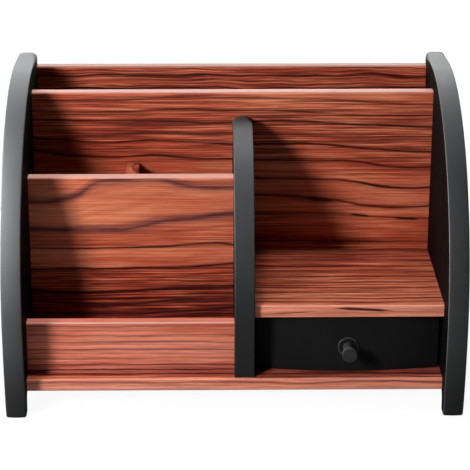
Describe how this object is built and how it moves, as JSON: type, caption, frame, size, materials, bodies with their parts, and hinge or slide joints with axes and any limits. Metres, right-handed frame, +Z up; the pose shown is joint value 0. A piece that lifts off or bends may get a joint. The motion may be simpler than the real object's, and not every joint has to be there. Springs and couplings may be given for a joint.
{
  "type": "desk organizer with drawer",
  "caption": "Desktop organizer of wood boards between curved black sides: stepped letter slots on the left, a shelf over a bow-front drawer on the right.",
  "frame": {"origin": "on the desk, under the middle of the organizer's outer box", "axes": "+X to the organizer's right seen from the front, +Y to its rear, +Z up"},
  "size_m": [0.34, 0.204, 0.2285],
  "materials": {
    "black_lacquer": "satin black lacquer on wood",
    "rosewood": "satin lacquered rosewood with dark grain along the boards",
    "drawer_wood": "plain sanded light wood",
    "beech": "raw beech dowel",
    "black_metal": "satin black, turned",
    "zinc_steel": "bright zinc plated"
  },
  "bodies": {
    "carcass": {"left_side_panel": "black_lacquer", "right_side_panel": "black_lacquer", "centre_divider": "black_lacquer", "base_board": "rosewood", "front_rail": "rosewood", "mid_panel": "rosewood", "tall_panel": "rosewood", "back_panel": "rosewood", "short_divider": "rosewood", "drawer_shelf": "rosewood", "dowels": "beech", "divider_screws": "zinc_steel"},
    "drawer": {"drawer_front": "black_lacquer", "drawer_left_side": "drawer_wood", "drawer_right_side": "drawer_wood", "drawer_back": "drawer_wood", "drawer_bottom": "drawer_wood", "drawer_knob": "black_metal", "drawer_dowels": "beech", "knob_backplate": "black_metal", "knob_screw": "zinc_steel"}
  },
  "joints": [
    {"name": "drawer_slide", "type": "slide", "parent": "carcass", "child": "drawer", "axis": [0, -1, 0], "range_m": [0, 0.08]}
  ]
}
